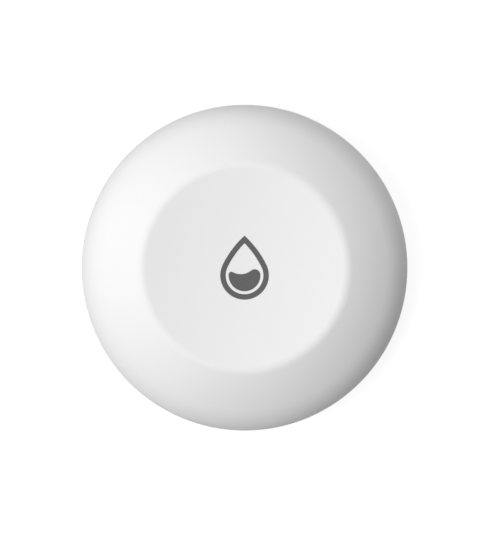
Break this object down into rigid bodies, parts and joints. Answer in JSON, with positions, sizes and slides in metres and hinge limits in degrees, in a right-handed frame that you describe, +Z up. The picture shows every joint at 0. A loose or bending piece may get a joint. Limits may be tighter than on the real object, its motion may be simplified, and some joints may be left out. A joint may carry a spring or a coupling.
{
  "type": "water leak sensor",
  "caption": "Round white floor puck with a dished top shell that is its push button, screw-head water probes and soft feet underneath, and a coin cell behind a twist-off cover.",
  "frame": {"origin": "on the floor, on the axis of the puck", "axes": "+Z up along the axis of the puck, +Y towards the tip of the drop symbol, +X to the right seen from above"},
  "size_m": [0.05, 0.05, 0.015],
  "materials": {
    "shell": "satin with a very fine moulded grain",
    "symbol": "matt dark grey inlay",
    "silicone": "matt translucent grey silicone",
    "probe_steel": "polished stainless steel",
    "screw_steel": "zinc plated",
    "brass": "turned",
    "board": "solder mask",
    "moulded_black": "matt",
    "tin_plate": "bright tinned sheet",
    "cell_steel": "satin nickel plate",
    "cell_paste": "pressed powder",
    "gold_plate": "gold plated",
    "copper": "bare copper",
    "chip_ceramic": "fired",
    "resistor_black": "glazed film",
    "capacitor_amber": "moulded",
    "led_lens": "milky",
    "plunger_grey": "matt"
  },
  "bodies": {
    "base": {"base_shell": "shell", "press_seal": "silicone", "probe_screws": "probe_steel", "probe_seals": "silicone", "probe_standoffs": "brass", "feet": "silicone", "circuit_board": "board", "board_screws": "screw_steel", "switch_body": "moulded_black", "switch_frame": "tin_plate", "switch_dome": "gold_plate", "switch_terminals": "tin_plate", "battery_holder": "moulded_black", "positive_contact": "tin_plate", "negative_contact": "tin_plate", "cell_can": "cell_steel", "cell_gasket": "moulded_black", "cell_cap": "cell_steel", "cell_core": "cell_paste", "radio_shield": "tin_plate", "radio_chip": "moulded_black", "radio_crystal": "tin_plate", "antenna": "copper", "memory_chip": "moulded_black", "memory_legs": "tin_plate", "status_led": "led_lens", "capacitors": "chip_ceramic", "resistors": "resistor_black", "bulk_capacitor": "capacitor_amber", "test_pads": "gold_plate"},
    "top_shell": {"top_shell": "shell", "drop_outline": "symbol", "drop_level": "symbol"},
    "battery_cover": {"battery_cover": "shell", "cover_seal": "silicone"},
    "switch_plunger": {"switch_plunger": "plunger_grey"}
  },
  "joints": [
    {"name": "shell_press", "type": "slide", "parent": "base", "child": "top_shell", "axis": [0, 0, -1], "range_m": [0, 0.00035], "stiffness_N_per_m": 3000, "springref_m": -0.0003, "deforming": ["press_seal"]},
    {"name": "plunger_press", "type": "slide", "parent": "base", "child": "switch_plunger", "axis": [0, 0, -1], "range_m": [0, 0.00035], "deforming": ["switch_dome"]},
    {"name": "battery_cover_twist", "type": "hinge", "parent": "base", "child": "battery_cover", "pos_m": [0, 0, 0.0008], "axis": [0, 0, -1], "range_deg": [0, 30]}
  ],
  "couplings": [
    {"joint": "plunger_press", "follows": "shell_press", "ratio": 1}
  ]
}
